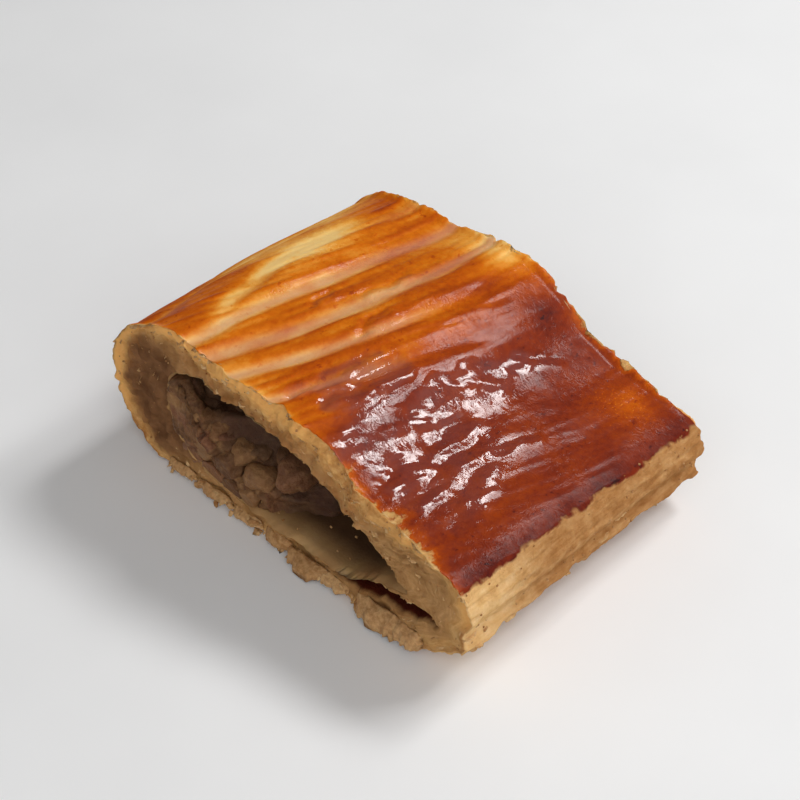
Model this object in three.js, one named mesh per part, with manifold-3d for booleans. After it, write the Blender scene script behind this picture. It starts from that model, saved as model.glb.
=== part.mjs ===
// Sausage roll: one piece cut from a long baked roll.
//
// A sheet of puff pastry is folded round minced meat. The fold is the round left side, and the two edges of
// the sheet are pressed together on the right side. Both ends are knife cuts, so they show the layered pastry,
// the meat, and the pocket that steam leaves between the meat and the risen lid. A fork has been dragged
// through the egg wash on the lid, in lines that lean and fan out along the roll.
//
// Units are millimetres. X runs across the roll, Y along it and Z up. The origin is the middle of the
// underside of the bounding box, and the front cut faces -Y.

import * as THREE from "three";
import { mergeVertices } from "three/addons/utils/BufferGeometryUtils.js";
import Module from "manifold-3d";

const wasm = await Module();
wasm.setup();

// ---------------------------------------------------------------- driving dimensions

const WIDTH = 70; // across the roll
const LENGTH = 47; // along the roll, from cut to cut
const HEIGHT = 28; // from the tray side to the crest of the lid

const HALF_WIDTH = WIDTH / 2;
const HALF_LENGTH = LENGTH / 2;

// The outline of the pastry at the front cut, as shares of the half width and of the height. The tray side
// runs from the first point to the last, and the lid between the two points that LID names.
const OUTLINE = [
  { x: 0.56, z: -0.012 }, // where the tray side starts to lift towards the seal
  { x: -0.62, z: -0.012 }, // where it starts to lift towards the fold
  { x: -0.92, z: 0.11 }, // under the fold
  { x: -1.0, z: 0.38 }, // the fold's nose
  { x: -0.89, z: 0.78 }, // shoulder
  { x: -0.62, z: 0.99 }, // crest on the fold side
  { x: -0.3, z: 0.985 },
  { x: 0.02, z: 0.97 },
  { x: 0.26, z: 0.93 }, // end of the crest
  { x: 0.42, z: 0.795 }, // foot of the step down to the sealed side
  { x: 0.72, z: 0.72 }, // lower plateau
  { x: 0.95, z: 0.62 }, // lip of the lid
  { x: 1.0, z: 0.46 }, // upper edge of the sheet
  { x: 0.965, z: 0.355 }, // crease where the two edges are pressed together
  { x: 0.985, z: 0.28 }, // lower edge of the sheet
  { x: 0.86, z: 0.13 }, // under the sealed edges
];
const LID = { from: 4, to: 10 };

// The steam pocket with the bed of the meat, in the same shares and from the tray side round like the outline.
const POCKET = [
  { x: 0.4, z: 0.15 },
  { x: -0.42, z: 0.145 },
  { x: -0.59, z: 0.235 },
  { x: -0.66, z: 0.46 },
  { x: -0.61, z: 0.69 },
  { x: -0.47, z: 0.81 },
  { x: -0.25, z: 0.82 },
  { x: 0.03, z: 0.79 },
  { x: 0.2, z: 0.73 },
  { x: 0.36, z: 0.635 },
  { x: 0.58, z: 0.49 },
  { x: 0.77, z: 0.35 },
  { x: 0.8, z: 0.3 },
  { x: 0.72, z: 0.235 },
];

const SINK = 0.13; // how much lower the roll lies at the back cut than at the front cut
const SINK_MORE = 0.1; // how much lower again along the sealed side
const PEAK = { x: 1, width: 9, height: 2.6 }; // the crest that keeps its height up to the back cut
const RISE = 0.9; // how far the lid swells between the cuts
const PINCH = 0.6; // how far the knife has drawn the skin in at each cut
const PINCH_REACH = 1.6; // how far along the roll that goes

// Fork lines in the lid: ridges with a trough between each two.
const FORK_PITCH = 5.4; // between two ridges at the front cut
const FORK_FIRST = -12.5; // one of the ridges at the front cut
const FORK_LEAN = 10; // how far that ridge drifts to +X on its way to the back
const FORK_FAN = 0.02; // how much more each ridge drifts than its left neighbour, per millimetre
const FORK_MOST = -6; // from here on they all drift the same
const FORK_RELIEF = 0.5; // height of a ridge above the mean of the lid
const FORK_LEFT = -29; // where the ridges start, on the shoulder
const FORK_RIGHT = 3; // where they have faded out, at the front cut
const FORK_FADE = 3.5; // over this width

const CLEARANCE = 0.35; // between the meat and the pastry round it
const MEAT_RECESS = 1.8; // how far the meat has shrunk back from each cut
const MEAT_LUMP = 0.7; // height of the lumps on the meat
const MEAT_LEFT = -26; // under the fold, where the meat starts
const MEAT_TOP = 20; // height of the heap against the fold
const MEAT_CREST = -19; // where the heap starts to fall
const MEAT_FOOT = 6.8; // height where it runs out
const MEAT_END = 5; // where it stops, short of the seal
const MEAT_SCOOP = 11; // how much sooner it stops at the front cut
const MEAT_SCOOP_REACH = 13; // how far along the roll that goes
const MEAT_END_REACH = 2; // width of its steep end

const SAMPLES_PER_FORK = 8; // lid points from one ridge to the next
const SAMPLES_PER_SPAN = 4; // points for each span of the rest of an outline
const STATIONS = 17; // cross-sections from cut to cut

// ---------------------------------------------------------------- shaping functions

function smoothStep(low, high, value) {
  return THREE.MathUtils.smoothstep(value, low, high);
}

// A closed curve through shares of the half width and of the height, in millimetres.
function closedCurve(points) {
  const corners = points.map((p) => new THREE.Vector3(p.x * HALF_WIDTH, 0, p.z * HEIGHT));
  return new THREE.CatmullRomCurve3(corners, true, "centripetal");
}

// Evenly spread points of one closed curve, for the spans `from` to `to`, without the last.
function sampleSpans(curve, spans, from, to) {
  const count = (to - from) * SAMPLES_PER_SPAN;
  return Array.from({ length: count }, (_, i) => curve.getPoint(((from + i / SAMPLES_PER_SPAN) % spans) / spans));
}

// Height of the lid over any X, from close-set points of the outline.
function lidProfile(curve) {
  const count = 400;
  const points = Array.from({ length: count + 1 }, (_, i) =>
    curve.getPoint((LID.from + ((LID.to - LID.from) * i) / count) / OUTLINE.length),
  );
  return (x) => {
    const next = Math.max(1, points.findIndex((p) => p.x > x));
    const [a, b] = [points[next - 1], points[next]];
    return a.z + ((b.z - a.z) * (x - a.x)) / (b.x - a.x);
  };
}

// How far along the roll a point is: 0 at the front cut and 1 at the back cut.
function along(y) {
  return THREE.MathUtils.clamp((y + HALF_LENGTH) / LENGTH, 0, 1);
}

// How far the fork line that starts at `start` has drifted to +X. It dies out at both ends of the lid.
function forkDrift(start, y, left, right) {
  const fan = 1 + FORK_FAN * (Math.min(start, FORK_MOST) - FORK_FIRST);
  const lean = FORK_LEAN * fan * Math.sin((Math.PI / 2) * along(y));
  return lean * smoothStep(left, FORK_FIRST, start) * (1 - smoothStep(FORK_MOST, right, start));
}

function forkRelief(start) {
  const share =
    smoothStep(FORK_LEFT, FORK_LEFT + FORK_FADE, start) * (1 - smoothStep(FORK_RIGHT - FORK_FADE, FORK_RIGHT, start));
  return FORK_RELIEF * share * Math.cos((2 * Math.PI * (start - FORK_FIRST)) / FORK_PITCH);
}

// Lowers the roll towards the back cut, the sealed side most of all.
function sink(x, z, y) {
  const share = SINK + SINK_MORE * smoothStep(0, HALF_WIDTH, x);
  return z * (1 - share * along(y));
}

// How much the crest makes up for the sinking, at this X.
function peak(x, y) {
  return PEAK.height * along(y) * Math.exp(-(((x - PEAK.x) / PEAK.width) ** 2));
}

// A point of the pastry's outside, for a point of the outline and the height of a fork line there.
function skinPoint(p, relief, y) {
  const lift = smoothStep(0.3 * HEIGHT, 0.9 * HEIGHT, p.z);
  const edge = 1 - smoothStep(0, PINCH_REACH, HALF_LENGTH - Math.abs(y));
  const swell = RISE * Math.cos((Math.PI * y) / LENGTH) + peak(p.x, y) + relief - PINCH * edge;
  const x = p.x * (1 - (PINCH * edge) / HALF_WIDTH);
  return new THREE.Vector3(x, y, Math.max(sink(p.x, p.z, y) + lift * swell, 0));
}

function pocketPoint(p, y) {
  const lift = smoothStep(0.4 * HEIGHT, 0.8 * HEIGHT, p.z);
  return new THREE.Vector3(p.x, y, sink(p.x, p.z, y) + lift * peak(p.x, y));
}

// ---------------------------------------------------------------- solids

// A closed mesh through rings of equal size, with flat ends. The rings go anticlockwise in the XZ plane.
function loft(rings) {
  const size = rings[0].length;
  const section = rings[0].map((p) => new THREE.Vector2(p.x, p.z));
  if (THREE.ShapeUtils.isClockWise(section)) return loft(rings.map((ring) => ring.slice().reverse()));
  const positions = rings.flat().flatMap((p) => [p.x, p.y, p.z]);
  const faces = [];
  for (let r = 0; r + 1 < rings.length; r++) {
    for (let i = 0; i < size; i++) {
      const [a, b] = [r * size + i, r * size + ((i + 1) % size)];
      faces.push(a, b, b + size, a, b + size, a + size);
    }
  }
  const cap = THREE.ShapeUtils.triangulateShape(section, []);
  const last = (rings.length - 1) * size;
  for (const [a, b, c] of cap) faces.push(a, c, b, last + a, last + b, last + c);
  return solidFrom(positions, faces);
}

function solidFrom(positions, faces) {
  const geometry = new THREE.BufferGeometry();
  geometry.setAttribute("position", new THREE.BufferAttribute(new Float32Array(positions), 3));
  geometry.setIndex(faces);
  const merged = mergeVertices(geometry, 1e-4);
  const mesh = new wasm.Mesh({
    numProp: 3,
    vertProperties: merged.attributes.position.array,
    triVerts: new Uint32Array(merged.index.array),
  });
  const solid = new wasm.Manifold(mesh);
  return solid.volume() > 0 ? solid : solidFrom(positions, faces.slice().reverse());
}

function geometryFrom(solid) {
  const mesh = solid.getMesh();
  const geometry = new THREE.BufferGeometry();
  geometry.setAttribute("position", new THREE.BufferAttribute(new Float32Array(mesh.vertProperties), 3));
  geometry.setIndex(new THREE.BufferAttribute(new Uint32Array(mesh.triVerts), 1));
  geometry.computeVertexNormals();
  return geometry;
}

// Y of each cross-section, with the two ends of the pinch as stations of their own.
function stationsBetweenCuts() {
  const inner = HALF_LENGTH - PINCH_REACH;
  const found = [-HALF_LENGTH];
  for (let i = 0; i < STATIONS - 2; i++) found.push(-inner + (2 * inner * i) / (STATIONS - 3));
  found.push(HALF_LENGTH);
  return found;
}

// The cross-section at Y. The lid's points follow the fork lines, and the rest stay where they are.
function skinSection(curve, lidHeight, y) {
  const spans = OUTLINE.length;
  const [left, right] = [OUTLINE[LID.from].x * HALF_WIDTH, OUTLINE[LID.to].x * HALF_WIDTH];
  const around = sampleSpans(curve, spans, LID.to, LID.from + spans).map((p) => skinPoint(p, 0, y));
  const count = Math.round(((right - left) / FORK_PITCH) * SAMPLES_PER_FORK);
  for (let i = 0; i < count; i++) {
    const start = left + ((right - left) * i) / count;
    const x = start + forkDrift(start, y, left, right);
    around.push(skinPoint(new THREE.Vector3(x, 0, lidHeight(x)), forkRelief(start), y));
  }
  return around;
}

function pastrySkin() {
  const curve = closedCurve(OUTLINE);
  const lidHeight = lidProfile(curve);
  return loft(stationsBetweenCuts().map((y) => skinSection(curve, lidHeight, y)));
}

// The pocket, grown by `offset` (or shrunk, where it is negative), from one Y to another.
function pocketCore(offset, from, to, steps) {
  const curve = closedCurve(POCKET);
  const outline = sampleSpans(curve, POCKET.length, 0, POCKET.length);
  const count = outline.length;
  const grown = outline.map((p, i) => {
    const tangent = outline[(i + 1) % count].clone().sub(outline[(i + count - 1) % count]).normalize();
    return new THREE.Vector3(p.x - tangent.z * offset, 0, p.z + tangent.x * offset);
  });
  const rings = [];
  for (let i = 0; i <= steps; i++) {
    const y = from + ((to - from) * i) / steps;
    rings.push(grown.map((p) => pocketPoint(p, y)));
  }
  return loft(rings);
}

// Where the meat stops short of the seal.
function meatEnd(y) {
  return MEAT_END - MEAT_SCOOP * (1 - smoothStep(-HALF_LENGTH, -HALF_LENGTH + MEAT_SCOOP_REACH, y));
}

// Height of the meat: heaped against the fold, and falling to a steep end.
function meatHeight(x, y) {
  const end = meatEnd(y);
  const heap = MEAT_FOOT + (MEAT_TOP - MEAT_FOOT) * (1 - smoothStep(MEAT_CREST, end, x));
  const lumps = Math.sin(0.75 * x + 0.4 * y) * Math.cos(0.6 * y - 0.2 * x) + 0.5 * Math.sin(1.3 * x - 0.5);
  return sink(x, heap + MEAT_LUMP * lumps, y) * (1 - smoothStep(end - MEAT_END_REACH, end, x));
}

// Everything below the top of the meat, as a solid with a flat underside.
function belowMeat() {
  const [columns, rows] = [26, 22];
  const rings = [];
  for (let r = 0; r <= rows; r++) {
    const y = -HALF_LENGTH + (LENGTH * r) / rows;
    const end = meatEnd(y);
    const ring = [new THREE.Vector3(end, y, -1), new THREE.Vector3(MEAT_LEFT, y, -1)];
    for (let c = 0; c <= columns; c++) {
      const x = MEAT_LEFT + ((end - MEAT_LEFT) * c) / columns;
      ring.push(new THREE.Vector3(x, y, meatHeight(x, y)));
    }
    rings.push(ring);
  }
  return loft(rings);
}

function pastrySolid() {
  const through = HALF_LENGTH + 2;
  return pastrySkin().subtract(pocketCore(0, -through, through, 12));
}

function meatSolid() {
  const reach = HALF_LENGTH - MEAT_RECESS;
  return pocketCore(-CLEARANCE, -reach, reach, 12).intersect(belowMeat());
}

// ---------------------------------------------------------------- the piece

function meshOf(name, solid, colour, roughness) {
  const material = new THREE.MeshStandardMaterial({ color: colour, roughness, metalness: 0 });
  const mesh = new THREE.Mesh(geometryFrom(solid), material);
  mesh.name = name;
  return mesh;
}

const roll = new THREE.Group();
roll.add(meshOf("pastry", pastrySolid(), 0xb5641e, 0.35));
roll.add(meshOf("meat_filling", meatSolid(), 0x6b5344, 0.6));

// Puts the origin under the middle of the bounding box.
const bounds = new THREE.Box3().setFromObject(roll);
const middle = bounds.getCenter(new THREE.Vector3());
for (const mesh of roll.children) mesh.position.set(-middle.x, -middle.y, -bounds.min.z);

export default roll;
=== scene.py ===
import math

import bmesh
import bpy
import numpy as np
from mathutils import Matrix, Vector


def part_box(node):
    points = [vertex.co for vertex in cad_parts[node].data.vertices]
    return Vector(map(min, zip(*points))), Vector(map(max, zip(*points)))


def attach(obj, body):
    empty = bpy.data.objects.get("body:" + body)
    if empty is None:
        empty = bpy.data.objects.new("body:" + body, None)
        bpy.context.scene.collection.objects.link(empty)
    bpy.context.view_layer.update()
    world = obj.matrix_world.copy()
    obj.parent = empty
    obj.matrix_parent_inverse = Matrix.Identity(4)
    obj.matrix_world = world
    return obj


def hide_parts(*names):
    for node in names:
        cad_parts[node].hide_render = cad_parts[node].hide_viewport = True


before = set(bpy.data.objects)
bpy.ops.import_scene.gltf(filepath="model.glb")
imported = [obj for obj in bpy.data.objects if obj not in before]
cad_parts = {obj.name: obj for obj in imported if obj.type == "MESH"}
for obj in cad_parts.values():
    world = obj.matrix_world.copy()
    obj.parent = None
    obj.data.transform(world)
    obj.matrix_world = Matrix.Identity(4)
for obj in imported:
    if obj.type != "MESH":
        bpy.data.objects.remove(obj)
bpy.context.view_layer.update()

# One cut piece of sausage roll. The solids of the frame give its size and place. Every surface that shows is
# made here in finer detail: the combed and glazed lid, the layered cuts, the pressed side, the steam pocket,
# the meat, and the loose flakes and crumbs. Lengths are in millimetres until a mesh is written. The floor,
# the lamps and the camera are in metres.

MM = 0.001

# ---- sizes

LOW, HIGH = (np.array(corner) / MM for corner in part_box("pastry"))
HALF_W = (HIGH[0] - LOW[0]) / 2
HALF_L = (HIGH[1] - LOW[1]) / 2
LENGTH = 2 * HALF_L
HEIGHT = 28  # of the outline below at 1, before the lid swells

# The outline of the pastry at the front cut and the pocket inside it, as shares of the half width and of the
# height. They follow the solids, except for a lower plateau, a higher lip and a pocket that ends sooner.
OUTLINE = np.array([
    (0.56, -0.012), (-0.62, -0.012), (-0.92, 0.11), (-1, 0.38), (-0.89, 0.78), (-0.62, 0.99), (-0.3, 0.985),
    (0.02, 0.97), (0.26, 0.93), (0.42, 0.795), (0.72, 0.705), (0.95, 0.632), (1, 0.46), (0.965, 0.355),
    (0.985, 0.28), (0.86, 0.13),
])
POCKET = np.array([
    (0.36, 0.165), (-0.42, 0.145), (-0.59, 0.235), (-0.66, 0.46), (-0.61, 0.69), (-0.47, 0.81), (-0.25, 0.82),
    (0.03, 0.79), (0.2, 0.73), (0.36, 0.635), (0.535, 0.51), (0.61, 0.44), (0.66, 0.395), (0.68, 0.365),
    (0.62, 0.34), (0.5, 0.27),
])
SPANS = len(OUTLINE)
# Places round the outline, counted in its points.
UNDER_FOLD, NOSE, SHOULDER, CREST = 2, 3, 4, 5
STEP, PLATEAU, LIP, EDGE, CREASE, LOWER, UNDER_SEAL = 9, 10, 11, 12, 13, 14, 15

SINK, SINK_MORE = 0.13, 0.1  # how much lower the roll lies at the back cut, and how much more along the seal
PEAK_X, PEAK_WIDTH, PEAK_HEIGHT = 1, 9, 2.6  # the crest that keeps its height up to the back cut
RISE = 0.9  # swelling of the lid between the cuts

# The ridges that the fork left: X at five places from the front cut to the back cut, half width, height, and
# how far along the roll (0 to 1) the ridge starts and ends.
RIDGES = (
    ((-25.5, -28, -28.5, -28, -27.5), 1.3, 0.3, -1, 2),
    ((-17.8, -20, -22, -20.8, -19), 2, 0.5, 0.12, 2),
    ((-17.2, -16.3, -13.8, -12.1, -11.2), 1.6, 0.6, -1, 2),
    ((-13.6, -9.2, -6, -3.9, -3.2), 1.75, 0.65, -1, 2),
    ((-8, -3.6, 0.9, 3.3, 3.4), 1.55, 0.6, -1, 1),
    ((-2, 3.2, 7.4, 8.9, 8.8), 1.35, 0.5, -1, 0.8),
    ((6.2, 10.2, 13.2, 14.6, 15), 1, 0.16, -1, 0.6),
)
LEAN = 10  # how far the fork drifted to +X over the whole length


# ---- noise and curves

def smooth(low, high, value):
    t = np.clip((value - low) / (high - low), 0, 1)
    return t * t * (3 - 2 * t)


def band(start, full, fade, end, value):
    """Rises from start to full and falls from fade to end."""
    return smooth(start, full, value) * (1 - smooth(fade, end, value))


def lattice(ix, iy, iz, seed):
    """A fixed pseudo-random number from -1 to 1 for each whole-number place."""
    n = ix * 374761393 + iy * 668265263 + iz * 1440662683 + seed * 974634777
    n = (n ^ (n >> 13)) * 1274126177
    n = (n ^ (n >> 16)) & 0xFFFF
    return n / 32767.5 - 1


def noise(x, y, z, seed):
    """Smooth noise from -1 to 1, one wave to a unit."""
    cell = [np.floor(v).astype(np.int64) for v in (x, y, z)]
    part = [v - c for v, c in zip((x, y, z), cell)]
    fade = [f * f * f * (f * (f * 6 - 15) + 10) for f in part]
    total = 0
    for dx in (0, 1):
        wx = fade[0] if dx else 1 - fade[0]
        for dy in (0, 1):
            wy = fade[1] if dy else 1 - fade[1]
            for dz in (0, 1):
                wz = fade[2] if dz else 1 - fade[2]
                total = total + wx * wy * wz * lattice(cell[0] + dx, cell[1] + dy, cell[2] + dz, seed)
    return total


def layered_noise(x, y, z, octaves, seed=0):
    total, weight, size = 0, 1, 1
    for octave in range(octaves):
        total = total + weight * noise(x * size, y * size, z * size, seed + 17 * octave)
        weight *= 0.5
        size *= 2.03
    return total


def cells(x, y, z, seed=0):
    """Distance to the nearest scattered point, to the second nearest, and a number for the nearest."""
    base = [np.floor(v).astype(np.int64) for v in (x, y, z)]
    first = np.full(np.shape(x), 9)
    second = np.full(np.shape(x), 9)
    tag = np.zeros(np.shape(x))
    for dx in (-1, 0, 1):
        for dy in (-1, 0, 1):
            for dz in (-1, 0, 1):
                cx, cy, cz = base[0] + dx, base[1] + dy, base[2] + dz
                px = cx + 0.5 + 0.42 * lattice(cx, cy, cz, seed)
                py = cy + 0.5 + 0.42 * lattice(cx, cy, cz, seed + 1)
                pz = cz + 0.5 + 0.42 * lattice(cx, cy, cz, seed + 2)
                far = np.sqrt((x - px) ** 2 + (y - py) ** 2 + (z - pz) ** 2)
                nearer = far < first
                second = np.where(nearer, first, np.minimum(second, far))
                tag = np.where(nearer, lattice(cx, cy, cz, seed + 3), tag)
                first = np.where(nearer, far, first)
    return first, second, tag


def closed_curve(points, u):
    """Centripetal Catmull-Rom curve through a closed ring of points, at u counted in spans."""
    count = len(points)
    u = np.mod(u, count)
    i = np.floor(u).astype(int)
    t = (u - i)[:, None]
    p0, p1, p2, p3 = (points[(i + k) % count] for k in (-1, 0, 1, 2))
    d0, d1, d2 = (np.sqrt(np.linalg.norm(b - a, axis=1))[:, None] for a, b in ((p0, p1), (p1, p2), (p2, p3)))
    m1 = d1 * ((p1 - p0) / d0 - (p2 - p0) / (d0 + d1) + (p2 - p1) / d1)
    m2 = d1 * ((p2 - p1) / d1 - (p3 - p1) / (d1 + d2) + (p3 - p2) / d2)
    return p1 + m1 * t + (3 * (p2 - p1) - 2 * m1 - m2) * t ** 2 + (2 * (p1 - p2) + m1 + m2) * t ** 3


# ---- meshes

def write_mesh(name, verts, faces, fields, uv=None):
    """A mesh object from millimetres, with one named float field for each point."""
    mesh = bpy.data.meshes.new(name)
    mesh.from_pydata((np.asarray(verts) * MM).tolist(), [], [list(map(int, f)) for f in faces])
    for field, values in fields.items():
        layer = mesh.attributes.new(field, "FLOAT", "POINT")
        layer.data.foreach_set("value", np.asarray(values, dtype=np.float32).ravel())
    if uv is not None:
        layer = mesh.uv_layers.new(name="OFBake")
        layer.uv.foreach_set("vector", np.asarray(uv, dtype=np.float32).ravel())
    mesh.polygons.foreach_set("use_smooth", [True] * len(mesh.polygons))
    mesh.update()
    made = bpy.data.objects.new(name, mesh)
    bpy.context.scene.collection.objects.link(made)
    return made


def ring_faces(rows, columns, closed):
    """Quads of a grid whose columns close on themselves, and whose rows do too if closed is set."""
    r = np.arange(rows if closed else rows - 1)[:, None]
    c = np.arange(columns)[None, :]
    nr, nc = (r + 1) % rows, (c + 1) % columns
    quads = np.stack([r * columns + c, r * columns + nc, nr * columns + nc, nr * columns + c], -1)
    return quads.reshape(-1, 4)


def ring_uv(rows, columns, closed):
    count = rows if closed else rows - 1
    r = np.arange(count)[:, None] + np.zeros((1, columns))
    c = np.arange(columns)[None, :] + np.zeros((count, 1))
    corners = [(c, r), (c + 1, r), (c + 1, r + 1), (c, r + 1)]
    return np.stack([np.stack([a / columns, b / count], -1) for a, b in corners], 2).reshape(-1, 2)


def normals_of(points):
    """Unit normals of a grid of points, rows by columns, whose columns close on themselves."""
    across = np.roll(points, -1, axis=1) - np.roll(points, 1, axis=1)
    along = np.gradient(points, axis=0)
    n = np.cross(along, across)
    return n / (np.linalg.norm(n, axis=2, keepdims=True) + 1e-9)


# ---- the pastry's form

def spread_around():
    """Places round the outline, in spans, closer together where more shows."""
    u = np.linspace(0, SPANS, 4000, endpoint=False)
    p = closed_curve(OUTLINE * (HALF_W, HEIGHT), u)
    step = np.linalg.norm(np.roll(p, -1, axis=0) - p, axis=1)
    gap = np.full(len(u), 0.5)  # tray side
    gap[(u > 1.6) & (u < SHOULDER)] = 0.38  # fold
    gap[(u >= SHOULDER) & (u < LIP)] = 0.27  # lid
    gap[(u >= LIP) & (u < UNDER_SEAL + 0.4)] = 0.28  # pressed edges
    travelled = np.concatenate([[0], np.cumsum(step / gap)])
    count = int(travelled[-1])
    return np.interp(np.arange(count) * travelled[-1] / count, travelled, np.append(u, SPANS))


AROUND = spread_around()
COLUMNS = len(AROUND)
SKIN = closed_curve(OUTLINE * (HALF_W, HEIGHT), AROUND)
HOLLOW = closed_curve(POCKET * (HALF_W, HEIGHT), AROUND)
WALL = np.linalg.norm(SKIN - HOLLOW, axis=1)
ON_TRAY = np.maximum(smooth(UNDER_SEAL + 0.1, UNDER_SEAL + 0.7, AROUND),
                     1 - smooth(UNDER_FOLD - 0.3, UNDER_FOLD + 0.5, AROUND))
ARC = np.concatenate([[0], np.cumsum(np.linalg.norm(np.diff(SKIN, axis=0), axis=1))])


def along(y):
    """Share of the way along the roll, 0 at the front cut and 1 at the back cut."""
    return np.clip((y + HALF_L) / LENGTH, 0, 1)


def leaned(x, y):
    """X with the drift of the fork taken off, so that a fork line keeps one value."""
    return x - LEAN * np.sin(0.5 * math.pi * along(y))


def spot(x, y, px, py, rx, ry):
    """1 at the middle px, py of a soft patch, and near 0 past its reach rx, ry."""
    return np.exp(-(((x - px) / rx) ** 2 + ((y - py) / ry) ** 2))


def peak(x, y):
    return PEAK_HEIGHT * along(y) * np.exp(-(((x - PEAK_X) / PEAK_WIDTH) ** 2))


def sink(x, z, y):
    return z * (1 - (SINK + SINK_MORE * smooth(0, HALF_W, x)) * along(y))


def place_skin(x, z, y):
    lift = smooth(0.3 * HEIGHT, 0.9 * HEIGHT, z)
    swell = RISE * np.cos(math.pi * np.clip(y, -HALF_L, HALF_L) / LENGTH) + peak(x, y)
    return np.stack([x + 0 * y, y + 0 * x, np.maximum(sink(x, z, y) + lift * swell, 0)], -1)


def place_hollow(x, z, y):
    lift = smooth(0.4 * HEIGHT, 0.8 * HEIGHT, z)
    return np.stack([x + 0 * y, y + 0 * x, sink(x, z, y) + lift * peak(x, y)], -1)


def ridge_fields(x, y):
    """Height of the fork's ridges at places of the lid, and how much of a crest each place is (0 to 1)."""
    height = np.zeros(np.broadcast(x, y).shape)
    crest = np.zeros(height.shape)
    t = along(y)
    wobble = 0.5 * noise(x / 9, y / 9, 0, 41)
    knots = np.linspace(0, 1, 5)
    fine = np.linspace(0, 1, 60)
    rounding = np.hanning(15) / np.hanning(15).sum()
    for number, (places, half, tall, first, last) in enumerate(RIDGES):
        line = np.interp(fine, knots, places)
        line = np.convolve(np.pad(line, 7, mode="reflect", reflect_type="odd"), rounding, "valid")
        width = half * (1 + 0.16 * noise(y / 6, 0, 0 * y + number, 5))
        away = np.abs(x + wobble - np.interp(t, fine, line)) / width
        body = np.exp(-away ** 2.7)
        reach = band(first, first + 0.12, last - 0.25, last, t)
        power = (1 + 0.22 * noise(y / 7, 0, 0 * y + number, 9)) * (1 - 0.4 * smooth(4, 15, y))
        height = height + tall * power * body * reach
        crest = np.maximum(crest, body * reach * min(1, tall / 0.5))
    return height, crest


# Where the glaze is thick, glossy and wrinkled: from X, Y to X, Y, reach, amount, and the slope of the fold.
PUCKERED = (
    (12.4, -5, 12.8, 4, 2.3, 1.1, 0.16), (12.6, 4, 15, 13.5, 1.6, 0.95, 0.15),
    (16.4, -3.4, 15.8, -9.6, 1.8, 1, 0.26), (19.6, -4.4, 19, -9.6, 1.6, 0.95, 0.26),
    (20.8, -4, 22.9, 2.4, 1.4, 0.95, 0.28), (23, -7.2, 23.8, -12.5, 1.7, 0.85, 0.24),
    (25.2, -11, 27.6, -16.5, 1.7, 0.55, 0.1), (16.8, -18.6, 17.6, -13.4, 1.7, 0.85, 0.25),
    (20.4, -17.6, 21, -12.8, 1.7, 0.95, 0.25), (6.6, -5.5, 5.2, -16.5, 1.6, 1, 0.38),
    (3, -7.5, 1.2, -18, 1.3, 0.95, 0.42), (7.6, -9, 11.2, -22, 0.9, 0.6, 0),
    (13, -8, 13.6, -17, 1.5, 0.7, 0.05), (-11, -3.4, -10.4, -1.2, 1.2, 0.9, 0.45),
    (-7, 1, -6, 8.5, 1, 0.6, 0.42), (-1.4, 0, -0.6, -4, 1.5, 0.6, 0.42),
    (25, 6, 26.4, 10, 1.2, 0.14, 0),
)


def glossiness(x, y):
    """How thick the glaze lies (0 where it soaked in, about 1 where it puckered), and the folds under it."""
    total = np.zeros(np.broadcast(x, y).shape)
    fold = np.zeros(total.shape)
    wander_x = x + 0.9 * noise(x / 2.6, y / 2.6, 0, 37)
    wander_y = y + 0.9 * noise(x / 2.6, y / 2.6, 0, 38)
    for x0, y0, x1, y1, reach, amount, slope in PUCKERED:
        run_x, run_y = x1 - x0, y1 - y0
        t = ((wander_x - x0) * run_x + (wander_y - y0) * run_y) / (run_x ** 2 + run_y ** 2)
        t = np.clip(t, 0, 1)
        off_x, off_y = wander_x - x0 - t * run_x, wander_y - y0 - t * run_y
        away = np.hypot(off_x, off_y)
        total = np.maximum(total, amount * np.exp(-((away / reach) ** 4)))
        fold = fold - slope * (off_x + 0.2 * off_y) * np.exp(-((away / reach) ** 4))
    return total, fold


# Where the egg wash lies the thickest: centre, reach in X and Y.
THICK = ((13.5, 1, 5, 10), (19.5, -10, 7.5, 10.5), (5, -11.5, 5.5, 7), (11, -18, 3, 5))


def sheen(x, y):
    """How much gloss the glaze has, from 0 to 1."""
    thin = 1
    for px, py, rx, ry in THICK:
        thin = thin * (1 - np.exp(-((((x - px) / rx) ** 2 + ((y - py) / ry) ** 2) ** 1.5)))
    puckered = np.minimum(glossiness(x, y)[0], 1)
    level = np.clip(1.12 * (1 - thin) * (0.62 + 0.38 * puckered) + 0.6 * puckered, 0, 1)
    soaked = 1 - 0.85 * spot(x, y, 7.5, 8.5, 3.4, 9)
    return level * soaked * (1 + 0.12 * noise(x / 3, y / 3, 0, 39))


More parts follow.
